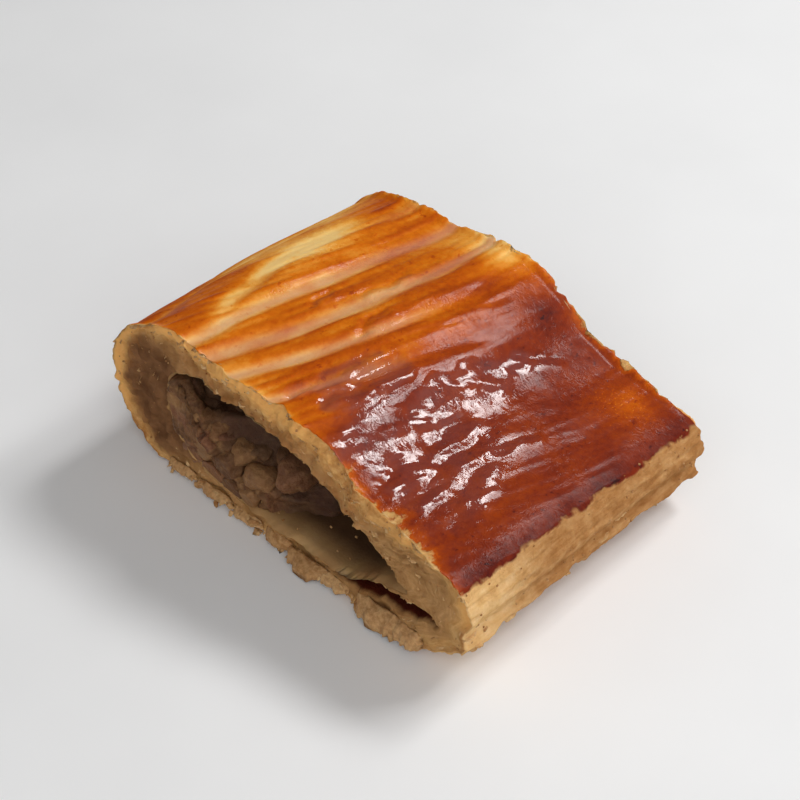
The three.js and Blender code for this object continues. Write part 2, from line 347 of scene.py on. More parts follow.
def skin_detail(x, y, u):
    """Height of the fine relief over the outside of the pastry, and the crest field."""
    lid = band(SHOULDER - 0.5, SHOULDER + 0.6, LIP - 0.3, LIP + 0.1, u)
    fold = band(UNDER_FOLD - 0.4, UNDER_FOLD + 0.4, SHOULDER, SHOULDER + 0.8, u)
    right = smooth(6, 14, x)
    ridge, crest = ridge_fields(x, y)
    lean = leaned(x, y)
    streak = noise(lean / 0.85, y / 6.5, 0, 3) * 0.1 + noise(lean / 0.55, y / 2.6, 0, 4) * 0.04
    swell = layered_noise(x / 7, y / 8, 0, 2, 11)
    bend = 1.3 * noise(x / 4.5, y / 4.5, 0, 23)
    pucker = 0.115 * noise((lean + bend) / 1.25, (y - bend) / 4.2, 0, 21)
    pucker = pucker + 0.065 * noise((lean - bend) / 0.72, (y + bend) / 2.2, 0, 22)
    pucker = pucker + 0.018 * noise(lean / 0.45, y / 0.7, 0, 24)
    gloss, fold_under = glossiness(x, y)
    busy = (0.13 + 1.67 * gloss) * (1 + 0.25 * noise(x / 5, y / 5, 0, 33))
    relief = ridge + streak * (1.1 - 0.8 * right) + swell * (0.1 + 0.1 * right - 0.1 * smooth(20, 26, x))
    relief = relief + pucker * busy + fold_under
    plain = noise(x / 5, y / 9, u, 12) * 0.22 + noise(x / 1.6, y / 2.6, u * 2, 13) * 0.07
    faded = 1 - smooth(0.5, 4, x) * smooth(-8, 1, y)
    return relief * lid + plain * (1 - lid) * (0.4 + 0.6 * fold), crest * lid * faded


def ragged_end(seed, lid_tear):
    """How far the outer skin stops short of a cut, all the way round. The tray side stops the furthest in."""
    loop = AROUND / SPANS * 2 * math.pi
    x, z = np.cos(loop), np.sin(loop)
    coarse = layered_noise(x * 5, z * 5, 0, 2, seed)
    fine = layered_noise(SKIN[:, 0] / 1.3, SKIN[:, 1] / 1.3, 0, 3, seed + 5)
    x = SKIN[:, 0]
    tray = (AROUND < 1.8) * smooth(-31, -24, x) * (1 - smooth(9, 16, x)) * (0.45 + 0.55 * smooth(-12, -2, x))
    tear = lid_tear * band(CREST - 0.6, CREST, STEP + 0.4, PLATEAU + 0.4, AROUND)
    skin_back = 0.75 + tear * (1 + 0.4 * coarse) + 0.3 * coarse + 0.26 * fine
    return skin_back + UNDERCUT * tray * (0.8 + 0.35 * noise(x / 3.5, 0, 0, seed + 9))


# The gap where the tray-side sheet came away at the front cut: X, the gap's middle in Z, and its half height.
GAP_X = (7.5, 13, 19, 24, 29)
GAP_Z = (2.7, 4.1, 6.1, 7.4, 8.1)
GAP_HALF = (0.15, 0.75, 1.75, 1.55, 0.2)
GAP_DEPTH = 4.8
CUT_ROWS = 26


def gap_share(x, z, u):
    """How far each place of the front cut lies inside the gap, from 0 to 1."""
    middle = np.interp(x, GAP_X, GAP_Z) + 0.25 * noise(x / 1.6, 0, 0, 77)
    half = np.interp(x, GAP_X, GAP_HALF, left=0.02, right=0.02) * (1 + 0.3 * noise(x / 1.3, 0, 0, 78))
    inside = 1 - smooth(0.65, 1.15, np.abs(z - middle) / half)
    return inside * ((u < UNDER_FOLD) | (u > CREASE)) * (x > GAP_X[0] - 0.5)


def torn_layers(x, z, u, arc, depth, rough, seed):
    """How far each place of a cut stands out, with layers that tore at different lengths."""
    fold = band(UNDER_FOLD - 0.5, UNDER_FOLD, SHOULDER - 0.3, CREST, u)
    wave = 0.8 * noise(arc / 4, depth / 3, 0, seed)
    sheet = noise(arc / 5, (depth + wave) / 0.7, 0, seed + 1)
    flaky = noise(arc / 1.6, (depth + wave) / 0.55, 0, seed + 2)
    near, second, tag = cells(x / 0.95, z / 0.95, 0 * x + seed, seed + 3)
    fine = layered_noise(x / 0.6, z / 0.6, 0, 2, seed + 8)
    coarse = layered_noise(x / 4.5, z / 4.5, 0, 2, seed + 4)
    lumpy, lumpy2, _ = cells(x / 2.1, z / 2.1, 0 * x + seed, seed + 11)
    grain = 0.34 * tag * smooth(0, 0.35, second - near) + 0.16 * flaky + 0.13 * sheet + 0.07 * fine
    lumps = 0.75 * smooth(0, 0.5, lumpy2 - lumpy) - 0.5
    return grain * rough + 0.34 * coarse + fold * smooth(0.8, 2, depth) * lumps


def end_face(side, skin_edge, hollow_edge, seed):
    """Rows of points across a cut, from the skin to the pocket, with their depth and share of the gap."""
    share = (np.arange(1, CUT_ROWS + 1) / (CUT_ROWS + 1))[:, None] + 0 * AROUND[None, :]
    points = skin_edge[None] * (1 - share[..., None]) + hollow_edge[None] * share[..., None]
    depth = share * WALL[None, :]
    settled = smooth(0, 1.5, depth)
    points[..., 1] = skin_edge[None, :, 1] * (1 - settled) + hollow_edge[None, :, 1] * settled
    arc, u = ARC[None, :] + 0 * share, AROUND[None, :] + 0 * share
    x, z = points[..., 0], points[..., 2]
    rough = 0.45 + 0.55 * band(SHOULDER - 0.2, CREST, LIP, EDGE, u) + 0.2 * smooth(LIP, UNDER_SEAL, u)
    out = torn_layers(x, z, u, arc, depth, rough, seed)
    gap = gap_share(x, z, u) if side < 0 else np.zeros(out.shape)
    points[..., 1] += side * out - side * GAP_DEPTH * gap
    points[..., 1] -= side * np.minimum(share, 1 - share) * 0.5
    points[..., 2] += 0.14 * noise(arc / 1.1, depth / 0.7, 0, seed + 6) * rough
    points[..., 0] += 0.14 * noise(arc / 1.1, depth / 0.7, 0, seed + 7) * rough
    return points, depth, gap


OUTER_ROWS, POCKET_ROWS = 119, 26
CUT_SEEDS = (301, 401)  # of the back cut and the front cut
SKIN_SEEDS = (101, 202)  # of the front cut and the back cut
UNDERCUT = 2.4  # how much further in the tray side stops


def outer_skin():
    """Grid of the outside from the front cut to the back cut, with X and Y of its plain form, and crests."""
    front, back = ragged_end(SKIN_SEEDS[0], 1), ragged_end(SKIN_SEEDS[1], 0)
    t = np.linspace(-1, 1, OUTER_ROWS)
    t = np.sign(t) * (1 - (1 - np.abs(t)) ** 1.12)  # a little closer near the cuts
    t = ((t + 1) / 2)[:, None]
    y = (-HALF_L + front)[None, :] * (1 - t) + (HALF_L - back)[None, :] * t
    x, z, u = SKIN[None, :, 0] + 0 * y, SKIN[None, :, 1] + 0 * y, AROUND[None, :] + 0 * y
    outer = place_skin(x, z, y)
    relief, crest = skin_detail(x, y, u)
    edge = np.minimum(y + HALF_L, HALF_L - y)
    curl = 0.55 * (1 - smooth(0.6, 2.2, edge)) * smooth(NOSE, CREST, u) * (1 - smooth(PLATEAU, LIP, u))
    side = band(LIP - 0.15, LIP + 0.35, UNDER_SEAL + 0.2, UNDER_SEAL + 0.7, u)
    leaf = noise(z / 0.55 + 0.35 * noise(y / 5, 0, 0, 62), y / 6.5, 0, 61)
    torn = layered_noise(y / 1.3, z / 1.2, 0, 2, 63)
    points = outer + normals_of(outer) * (relief + side * (0.16 * leaf + 0.14 * torn) - curl)[..., None]
    hem = band(CREASE, LOWER, UNDER_SEAL + 0.2, UNDER_SEAL + 0.8, u)
    points[..., 2] += hem * (0.55 * layered_noise(y / 3.2, 0, 0, 3, 71) + 0.1)
    lip = np.exp(-((u - LIP - 0.02) / 0.16) ** 2)
    points[..., 0] += lip * (0.3 + 0.25 * noise(y / 4, 0, 0, 72))
    points[..., 2] += lip * 0.25 * noise(y / 5, 0, 0, 73)
    return points, x, y, crest


def pocket_skin():
    """Grid of the steam pocket, rows from the back cut to the front cut."""
    v = np.linspace(0, 1, POCKET_ROWS)[:, None]
    y = (HALF_L - 1.1) * (1 - 2 * v) + 0 * AROUND[None, :]
    x, z = HOLLOW[None, :, 0] + 0 * y, HOLLOW[None, :, 1] + 0 * y
    y = y + 0.35 * layered_noise(x / 1.6, z / 1.6, y / 30, 2, 88) * np.abs(2 * v - 1) ** 6
    grid = place_hollow(x, z, y)
    uneven = layered_noise(grid[..., 0] / 5, y / 9, grid[..., 2] / 5, 2, 90)
    return grid + normals_of(grid) * (0.28 * uneven)[..., None]


def on_parts(grids, *values):
    """One field over the outside, the back cut, the pocket and the front cut, in that order."""
    return np.concatenate([np.broadcast_to(v, grid.shape[:2]) for v, grid in zip(values, grids)])


def make_pastry():
    """The pastry as one closed surface: outside, back cut, pocket and front cut."""
    points, x, y, crest = outer_skin()
    inner = pocket_skin()
    back_face, back_depth, back_gap = end_face(1, points[-1], inner[0], CUT_SEEDS[0])
    front_face, front_depth, front_gap = end_face(-1, points[0], inner[-1], CUT_SEEDS[1])
    grids = (points, back_face, inner, front_face[::-1])
    stack = np.concatenate(grids)
    stack[..., 2] = np.maximum(stack[..., 2], 0)
    rim = np.minimum((y + HALF_L) / bare_rim(x, 0.85, 1, 611), (HALF_L - y) / bare_rim(x, 0.5, 0.25, 622))
    fields = {
        "skin": on_parts(grids, 1, 0, 0, 0),
        "inside": on_parts(grids, 0, 0, 1, 0),
        "depth": on_parts(grids, 0, back_depth, WALL, front_depth[::-1]),
        "arc": on_parts(grids, ARC, ARC, ARC, ARC),
        "around": on_parts(grids, AROUND, AROUND, AROUND, AROUND),
        "tray": on_parts(grids, ON_TRAY, ON_TRAY, ON_TRAY, ON_TRAY),
        "crest": on_parts(grids, crest, 0, 0, 0),
        "slot": on_parts(grids, 0, back_gap, 0, front_gap[::-1]),
        "brown": on_parts(grids, browning(points[..., 0], points[..., 1], crest), 0, 0, 0),
        "speck": on_parts(grids, spot(x, y, 26, 16, 4.5, 4.5) + 0.7 * spot(x, y, -21, 5, 4, 9), 0, 0, 0),
        "gloss": on_parts(grids, sheen(x, y), 0, 0, 0),
        "edge": HALF_L - np.abs(stack[..., 1]),
        "rim": on_parts(grids, rim, 0, 0, 0),
    }
    rows = len(stack)
    faces, uv = ring_faces(rows, COLUMNS, True), ring_uv(rows, COLUMNS, True)
    made = write_mesh("pastry_crust", stack.reshape(-1, 3), faces, fields, uv)
    return made, points, front_face, back_face


def bare_rim(x, least, more, seed):
    """Width of the strip without glaze at a cut, where the lid crumbled."""
    wide = least + more * band(6, 13, 24, 31, x)
    return wide * (1 + 0.45 * noise(x / 2.6, 0, 0, seed) + 0.2 * noise(x / 0.9, 0, 0, seed + 1))


# Where the lid baked darker (positive) or stayed paler (negative): centre, reach in X and Y, amount.
PATCHES = (
    (-21, 5, 3.2, 8.5, -0.4), (-16.5, -8, 2.2, 6, -0.1), (-29, -15, 5, 8, 0.12),
    (-29, 13, 4.5, 8, -0.12), (-23.5, 18, 2.5, 4, 0.12), (-3, 22, 7.5, 3.4, -0.24),
    (-8, 13, 3, 7, -0.07), (1, 12, 2.5, 7, 0.05), (10.5, 18.5, 2.4, 2.6, 0.16),
    (19, 8, 6.5, 8.5, 0.02), (26, 17, 4.2, 3.6, -0.17), (20, 23.3, 12, 1.3, -0.14),
    (15, -22.6, 16, 1.6, -0.16), (-6, -21, 9, 2.6, -0.08), (33.6, 0, 2.6, 30, 0.15),
    (6, 8, 2.5, 8, 0.06), (-27, 9, 5, 14, -0.12), (-28.5, -2, 3.2, 7, -0.18),
    (-30.5, 18, 4, 4, -0.12),
    (-20, 17, 2.6, 5, 0.14), (-16, -17, 3, 5.5, -0.13), (1, -12, 5, 10, 0.06),
    (9.5, -10, 3.5, 6, 0.06), (14, 13, 3, 8, 0.05), (0, 20, 5, 3, -0.12),
    (26, 18.5, 4, 3, -0.12),
)


def browning(x, y, crest):
    """How far each place of the skin baked: 0 pale dough, 0.4 orange, 0.8 mahogany, 1 nearly black."""
    level = 0.48 + 0.27 * smooth(2.5, 12, x) + 0.12 * (1 - smooth(-34, -28, x))
    for px, py, rx, ry, amount in PATCHES:
        level = level + amount * spot(x, y, px, py, rx, ry)
    level = level + 0.045 * layered_noise(x / 6, y / 9, 0, 3, 501) * (1 - 0.4 * smooth(8, 14, x))
    lean = leaned(x, y)
    level = level - 0.085 * noise(lean / 0.85, y / 6.5, 0, 3) * (1 - smooth(4, 11, x))
    pale = crest ** 1.7 * (0.3 - 0.19 * smooth(-4, 7, x)) * (1 - 0.6 * smooth(4, 14, y))
    pale = pale * (1 + 0.35 * noise(x / 2, y / 2.6, 0, 503))
    return np.clip(level - pale, 0, 1)


# ---- the meat

MEAT_LEFT, MEAT_TOP, MEAT_CREST, MEAT_FOOT, MEAT_END = -22.9, 20, -19, 6.8, 5
MEAT_SCOOP, MEAT_SCOOP_REACH, MEAT_RECESS = 10.5, 13, 1.7
MEAT_BITE = 0.35  # how far the meat reaches into the dough round it
HEAP_ROWS, HEAP_COLUMNS, HEAP_CAPS = 96, 104, 34

# Coarse lumps at the front cut: middle, half size along X, Y and Z.
FRONT_LUMPS = (
    ((-2.5, -17.2, 9.6), (2.6, 3.2, 2.5)),
    ((-7.6, -19.6, 7.4), (2.7, 2.2, 1.9)),
    ((-12.6, -20.6, 7.6), (2.4, 2, 2.1)),
    ((-17.2, -20.8, 8.6), (2.4, 1.9, 2.6)),
    ((-16.4, -19.6, 11), (2.2, 2, 1.6)),
    ((-20.6, -20.9, 11.6), (1.9, 1.5, 2.6)),
    ((-11.4, -18.6, 9), (2.2, 2.4, 1.6)),
    ((-5, -15.6, 10), (2.4, 2.2, 2)),
    ((-19.8, -21.4, 5.6), (2.2, 1.3, 1.9)),
    ((-15.6, -21.7, 4.6), (2.4, 1.3, 1.6)),
    ((-11.6, -21.8, 4.2), (2.2, 1.2, 1.4)),
    ((-8.2, -21.4, 4.5), (1.8, 1.4, 1.3)),
    ((-22.3, -21.6, 9), (1.3, 1.2, 2.4)),
)
BACK_LUMPS = (
    ((-18.5, 21, 7.6), (2.6, 1.4, 2.4)),
    ((-13, 21.2, 6.4), (2.8, 1.3, 2.2)),
    ((-7.6, 20.8, 5.8), (2.6, 1.6, 2)),
    ((-15.6, 20.8, 11.4), (2.7, 1.5, 2)),
    ((-10, 20.4, 10), (2.3, 1.6, 1.9)),
    ((-2.4, 20, 5.4), (2.6, 1.9, 1.6)),
    ((-19.6, 20.6, 12.6), (1.7, 1.3, 2)),
)
LUMPS, LUMP_SEED = 120, 7  # how many more lie on the heap
FINE_WAVES = ((3.4, 3.17, 0.09, 751), (8, 5.1, 0.035, 752))
# Unevenness of a lump, then of a lump at the front cut: fineness, step from lump to lump, height, seed.
LUMP_WAVES = (((1.3, 7.31, 0.34, 750),) + FINE_WAVES, ((1.3, 7.31, 0.22, 750),) + FINE_WAVES)


def ball(level):
    shape = bmesh.new()
    bmesh.ops.create_icosphere(shape, subdivisions=level, radius=1)
    verts = np.array([v.co[:] for v in shape.verts])
    faces = np.array([[v.index for v in f.verts] for f in shape.faces])
    shape.free()
    return verts, faces


def heap_height(x, y):
    """Top of the heap of meat, which sags and stops short near the front cut."""
    front = 1 - smooth(-HALF_L, -HALF_L + MEAT_SCOOP_REACH, y)
    end = MEAT_END - MEAT_SCOOP * front
    crest = MEAT_CREST - 4.5 * front
    top = MEAT_FOOT + (MEAT_TOP - MEAT_FOOT) * (1 - smooth(crest, end, x))
    sag = 5 * (1 - smooth(-HALF_L + 3, -HALF_L + 9, y)) * smooth(-23.5, -16, x) * (1 - smooth(-12, end, x))
    low = 12.5 + 0.2 * (x + 18)
    hollow = smooth(-HALF_L + 1.5, -HALF_L + 4, y) * (1 - smooth(-HALF_L + 12, -HALF_L + 17, y))
    hollow = hollow * smooth(-23, -18, x)
    return np.minimum(top - sag, low + 8 * (1 - hollow)), end


def meat_lumps():
    """Centres and half sizes of the lumps that lie on the heap."""
    rng = np.random.default_rng(LUMP_SEED)
    found = [(np.array(c), np.array(h)) for c, h in FRONT_LUMPS + BACK_LUMPS]
    y = rng.uniform(-HALF_L + 2.6, HALF_L - 3, LUMPS)
    share = rng.uniform(0, 1, LUMPS)
    size = rng.uniform(0.9, 2.2, (LUMPS, 3))
    for i in range(LUMPS):
        end = heap_height(0, y[i])[1]
        x = -20.5 + share[i] * (end + 19)
        z = heap_height(x, y[i])[0] - 0.4 * size[i, 2]
        middle = place_hollow(np.array(x), np.array(min(z, 20.2)), np.array(y[i]))
        found.append((middle, size[i]))
    return found


def heap_grid():
    """Closed grid of the heap of meat, and how free of the dough each place is (0 to 1)."""
    u = np.linspace(0, SPANS, 3000, endpoint=False)
    ring = closed_curve(POCKET * (HALF_W, HEIGHT), u)
    left, right = ring[:, 0].argmin(), ring[:, 0].argmax()
    upper = ring[left:right]
    lower = np.concatenate([ring[right:], ring[:left]])[::-1]
    y = np.linspace(-HALF_L + MEAT_RECESS, HALF_L - MEAT_RECESS, HEAP_ROWS)[:, None]
    turn = (1 - np.cos(np.linspace(0, math.pi, HEAP_COLUMNS)))[None, :] / 2
    end = heap_height(0, y)[1]
    x = MEAT_LEFT + (end - MEAT_LEFT) * turn
    heap = heap_height(x, y)[0]
    ceiling = np.interp(x, upper[:, 0], upper[:, 1]) + MEAT_BITE
    floor = np.interp(x, lower[:, 0], lower[:, 1]) - MEAT_BITE
    rounded = np.sqrt(np.clip(1 - ((turn - 0.55) / 0.45).clip(0, 1) ** 4, 0, 1))
    top = floor + (np.minimum(heap, ceiling) - floor) * rounded
    free = smooth(0.3, 1.2, ceiling - heap)
    section = np.concatenate([place_hollow(x, top, y), place_hollow(x, floor, y)[:, ::-1]], axis=1)
    show = np.concatenate([free + 0 * x, 0 * x], axis=1)
    centre = section.mean(axis=1, keepdims=True)
    grow = (np.arange(HEAP_CAPS) / HEAP_CAPS)[:, None, None]
    head = centre[:1] * (1 - grow) + section[:1] * grow
    tail = centre[-1:] * (1 - grow[::-1]) + section[-1:] * grow[::-1]
    ends = np.ones(head.shape[:2])
    return np.concatenate([head, section, tail]), np.concatenate([ends, show, ends])


def heap_body():
    """Points, faces and fields of the heap, lumpy where it lies free."""
    points, show = heap_grid()
    x, y, z = points[..., 0], points[..., 1], points[..., 2]
    big, big2, tag = cells(x / 3.1, y / 3.1, z / 2.6, 700)
    small, small2, _ = cells(x / 1.1, y / 1.1, z / 1.1, 720)
    lump = 0.8 * smooth(0, 0.6, big2 - big) + 0.32 * smooth(0, 0.5, small2 - small) - 0.7
    lump = lump + 0.7 * layered_noise(x / 4, y / 4, z / 4, 2, 735)
    lump = lump + 0.14 * layered_noise(x / 0.8, y / 0.8, z / 0.8, 2, 740)
    foot = np.sign(y) * 0.8 * (1 - smooth(5.2, 9.5, z)) * smooth(HALF_L - 4.5, HALF_L - 1.5, np.abs(y))
    points = points + normals_of(points) * (lump * show)[..., None]
    points[..., 1] -= foot
    rows, columns = points.shape[:2]
    count, last = rows * columns, (rows - 1) * columns
    faces = ring_faces(rows, columns, False).tolist()
    for c in range(columns):
        after = (c + 1) % columns
        faces.append([count, after, c])
        faces.append([count + 1, last + c, last + after])
    verts = np.concatenate([points.reshape(-1, 3), points[:1].mean(axis=1), points[-1:].mean(axis=1)])
    lump, grain = np.append(big2 - big, [1, 1]), np.append(small2 - small, [1, 1])
    return verts, faces, [lump], [grain], [np.append(tag, [0, 0])], [np.zeros(count + 2)]


def make_meat():
    body, faces, lump, grain, tint, spared_from_shade = heap_body()
    verts, count = [body], len(body)
    fine_ball, plain_ball = ball(4), ball(3)
    for number, (middle, half_size) in enumerate(meat_lumps()):
        in_front = number < len(FRONT_LUMPS)
        globe, globe_faces = fine_ball if number < len(FRONT_LUMPS + BACK_LUMPS) else plain_ball
        bulge = 1
        for fineness, step, height, seed in LUMP_WAVES[in_front]:
            q = globe * fineness + number * step
            bulge = bulge + height * noise(q[:, 0], q[:, 1], q[:, 2], seed)
        made = globe * bulge[:, None] * half_size + middle
        made[:, 1] = np.clip(made[:, 1], -HALF_L + 1.2, HALF_L - 1.2)
        verts.append(made)
        faces.extend((globe_faces + count).tolist())
        count += len(globe)
        lump.append(np.ones(len(globe)))
        grain.append(0.5 + 0.5 * np.abs(bulge - 1))
        tint.append(np.full(len(globe), math.sin(number * 2.4)))
        spared_from_shade.append(np.full(len(globe), 0.7 * in_front))
    verts = np.concatenate(verts)
    # Painted shade: the meat far under the lid in the front half is darkened in its colour, most where it
    # lies high or towards the right end of the heap. The listed front lumps keep most of their own colour.
    high = np.maximum(smooth(6, 11, verts[:, 2]), smooth(-8, -3, verts[:, 0]))
    shade = smooth(1.6, 5.5, verts[:, 1] + HALF_L) * (1 - smooth(-9, 5, verts[:, 1])) * high
    fields = {name: np.concatenate(v) for name, v in (("lump", lump), ("grain", grain), ("tint", tint))}
    fields["painted_shade"] = 0.75 * shade * (1 - np.concatenate(spared_from_shade))
    return write_mesh("minced_meat", verts, faces, fields)


# ---- flakes and crumbs

FLAKE_SEED, CRUMB_SEED = 11, 13
SHARD_ROWS, SHARD_COLUMNS = 7, 6
RIM_FLAKES, LEAF_FLAKES, HEM_FLAKES = 44, 130, 40  # at each rim, at each cut and along the hem
FRONT_CRUMBS, BACK_CRUMBS, SIDE_CRUMBS, POCKET_CRUMBS = 240, 200, 120, 8
OUT_FRONT = HALF_L + 1.2  # nothing loose reaches further out than this


class Scraps:
    """Small closed bodies that are joined into one mesh."""

    def __init__(self):
        self.verts, self.faces, self.tones, self.count = [], [], [], 0

    def add(self, verts, faces, tone):
        verts = np.array(verts)
        verts[:, 1] = np.clip(verts[:, 1], -OUT_FRONT, OUT_FRONT)
        verts[:, 2] = np.maximum(verts[:, 2], 0.02)
        self.verts.append(verts)
        self.faces.extend((faces + self.count).tolist())
        self.tones.append(np.full(len(verts), tone))
        self.count += len(verts)

    def flake(self, rng, root, way, across, lengths, widths, droops, thick=0.14):
        """A shard with its sizes drawn from these ranges."""
        sizes = [rng.uniform(*span) for span in (lengths, widths, droops)]
        body = shard(rng, root, way, across, *sizes, thick)
        self.add(body, SHARD_FACES, rng.uniform(0.3, 0.8))

    def write(self, name):
        return write_mesh(name, np.concatenate(self.verts), self.faces, {"tone": np.concatenate(self.tones)})


def sheet_faces(rows, columns):
    """Faces of a closed sheet: an upper grid, a lower grid and the edge between them."""
    r = np.arange(rows - 1)[:, None]
    c = np.arange(columns - 1)[None, :]
    a = (r * columns + c).ravel()
    top = np.stack([a, a + 1, a + columns + 1, a + columns], -1)
    last = columns - 1
    rim = [(0, c) for c in range(last)] + [(r, last) for r in range(rows - 1)]
    rim += [(rows - 1, c) for c in range(last, 0, -1)] + [(r, 0) for r in range(rows - 1, 0, -1)]
    rim = np.array([r * columns + c for r, c in rim])
    after = np.roll(rim, -1)
    n = rows * columns
    sides = np.stack([after, rim, rim + n, after + n], -1)
    return np.concatenate([top, top[:, ::-1] + n, sides])


SHARD_FACES = sheet_faces(SHARD_ROWS, SHARD_COLUMNS)


def unit(v):
    return v / np.linalg.norm(v)


def shard(rng, root, outward, across, length, width, droop, thick):
    """A thin ragged scrap of pastry that starts at root, points outward and bends down by droop."""
    outward, across = unit(np.array(outward, float)), unit(np.array(across, float))
    up = unit(np.cross(across, outward))
    up = up if up[2] >= 0 else -up
    t = np.linspace(0, 1, SHARD_ROWS)[:, None]
    w = np.linspace(-1, 1, SHARD_COLUMNS)[None, :]
    reach = length * (0.62 + 0.38 * rng.random(SHARD_COLUMNS))[None, :] * (1 - 0.35 * w ** 2)
    taper = 1 - rng.uniform(0.1, 0.6) * t ** 2
    half = 0.5 * width * taper * (1 + 0.14 * rng.standard_normal((SHARD_ROWS, 1)))
    wave = 0.1 * width * np.sin(2.2 * w + rng.uniform(0, 6)) * t
    forward, sideways, lift = reach * t, half * w, wave + 0 * w
    sheet = root + forward[..., None] * outward + sideways[..., None] * across + lift[..., None] * up
    sheet[..., 2] -= droop * t ** 2
    body = 0.5 * thick * (1 - 0.65 * t) * (1 - 0.6 * w ** 2)
    over = (sheet + body[..., None] * up).reshape(-1, 3)
    under = (sheet - body[..., None] * up).reshape(-1, 3)
    return np.concatenate([over, under])


def flap(rng, root, across, length, width, droop, thick):
    """A broad soft tongue of dough with a crumbly outline."""
    rows, columns = 16, 30
    t = np.linspace(0, 1, rows)[:, None]
    w = np.linspace(-1, 1, columns)[None, :]
    seed = int(rng.integers(1000))
    edge = 1 + 0.28 * layered_noise(w * width / 2.4, 0, 0, 3, seed)
    reach = length * edge * np.sqrt(np.clip(1 - np.abs(w) ** 3, 0, 1))
    side = 1 + 0.1 * noise(t * 3, 0, 0, seed + 1)
    sheet = np.zeros((rows, columns, 3)) + root
    sheet = sheet + (0.5 * width * w * side)[..., None] * unit(np.array(across, float))
    sheet[..., 1] -= reach * np.sin(1.4 * t) / math.sin(1.4)
    sheet[..., 2] -= droop * t ** 1.6 * (0.6 + 0.4 * edge)
    bumps = layered_noise(sheet[..., 0] / 1.1, sheet[..., 1] / 1.1, sheet[..., 2] / 1.1, 3, seed + 2)
    body = 0.5 * thick * np.sqrt(np.clip(1.02 - t ** 2.5, 0, 1)) * np.sqrt(np.clip(1.02 - w ** 4, 0, 1))
    over, under = sheet.copy(), sheet.copy()
    over[..., 2] += body + 0.22 * bumps
    over[..., 1] -= 0.5 * body * t
    under[..., 2] -= body - 0.16 * bumps
    return np.concatenate([over.reshape(-1, 3), under.reshape(-1, 3)]), sheet_faces(rows, columns)


# Tongues of the tray-side sheet at the front cut: root, length, width, droop.
FLAPS = (
    ((18.6, -22.5, 3.3), 2.2, 8.6, 2.6),
    ((23.8, -22.7, 3.6), 1.4, 5, 1.9),
    ((4.6, -22.6, 2.3), 2, 8, 1.7),
    ((9.8, -22.5, 2.2), 1.3, 5, 1.3),
    ((-1.6, -22.3, 2.3), 1.2, 5, 1.2),
    ((-8, -22.4, 1.9), 0.9, 6, 0.9),
    ((-15, -22.4, 1.9), 0.9, 7, 0.9),
    ((-22, -22.5, 2), 0.8, 6, 0.8),
)


def hanging_flakes(scraps, rng):
    """Torn ends of the tray-side sheet along the front cut, longest in two places."""
    some = rng.uniform
    for root, length, width, droop in FLAPS:
        verts, faces = flap(rng, np.array(root), (1, 0, 0.06), length, width, droop, 0.6)
        scraps.add(verts, faces, some(0.3, 0.55))
    for x in np.arange(-24, 27, 1.1):
        x = x + some(-0.5, 0.5)
        long = math.exp(-(((x - 4.5) / 4) ** 2)) + math.exp(-(((x - 18) / 4) ** 2))
        for level in (0.6, 1.9):
            if rng.random() > 0.4 + 0.3 * long:
                continue
            root = np.array([x, -HALF_L + some(0.5, 1.2), level + some(-0.4, 0.4) + 0.5 * long])
            way = (some(-0.7, 0.7), -1, some(-0.35, 0.2))
            length = some(0.5, 1.3) + 0.7 * long
            body = shard(rng, root, way, (1, some(-0.4, 0.4), some(-0.3, 0.3)), length,
                         some(0.5, 1.8), some(0.1, 0.6) + 0.5 * long, 0.2)
            scraps.add(body, SHARD_FACES, some(0.2, 0.65))


def rim_flakes(scraps, rng, skin, row, side):
    """Scraps of the glazed lid's edge, bent over a cut."""
    some = rng.uniform
    lid = np.where((AROUND > NOSE + 0.5) & (AROUND < LIP + 0.3))[0]
    for _ in range(RIM_FLAKES):
        c = rng.choice(lid)
        root = skin[row, c] + (0, -side * 0.3, -0.15)
        across = skin[row, (c + 3) % COLUMNS] - skin[row, (c - 3) % COLUMNS]
        way = (some(-0.4, 0.4), side, some(-0.5, 0))
        scraps.flake(rng, root, way, across, (0.4, 0.9), (0.5, 1.6), (0, 0.4))


def leaf_flakes(scraps, rng, face, side):
    """Edges of single layers that stand out of a cut."""
    some = rng.uniform
    rows = len(face)
    for _ in range(LEAF_FLAKES):
        c = rng.integers(COLUMNS)
        r = int(rows * some(0.04, 0.96))
        if AROUND[c] < UNDER_FOLD - 1 or (NOSE - 0.6 < AROUND[c] < SHOULDER and rng.random() < 0.5):
            continue
        across = face[r, (c + 4) % COLUMNS] - face[r, (c - 4) % COLUMNS]
        across[1] = 0
        root = face[r, c] + (0, -side * 0.25, 0)
        way = (some(-0.35, 0.35), side, some(-0.45, 0.2))
        scraps.flake(rng, root, way, across, (0.4, 0.7), (0.5, 1.7), (0, 0.25), 0.13)


def hem_flakes(scraps, rng, skin):
    """Torn lower edge of the pressed side."""
    some = rng.uniform
    columns = np.where((AROUND > CREASE - 0.2) & (AROUND < UNDER_SEAL + 0.3))[0]
    for _ in range(HEM_FLAKES):
        c = rng.choice(columns)
        r = rng.integers(3, len(skin) - 3)
        root = skin[r, c] + (-0.25, 0, 0)
        way = (1, some(-0.6, 0.6), some(-0.5, 0.3))
        scraps.flake(rng, root, way, (0, 1, 0), (0.4, 0.9), (0.8, 2.6), (0, 0.5))


def make_flakes(skin, front_face, back_face):
    scraps, rng = Scraps(), np.random.default_rng(FLAKE_SEED)
    hanging_flakes(scraps, rng)
    rim_flakes(scraps, rng, skin, 0, -1)
    rim_flakes(scraps, rng, skin, -1, 1)
    leaf_flakes(scraps, rng, front_face, -1)
    leaf_flakes(scraps, rng, back_face, 1)
    hem_flakes(scraps, rng, skin)
    return scraps.write("loose_flakes")


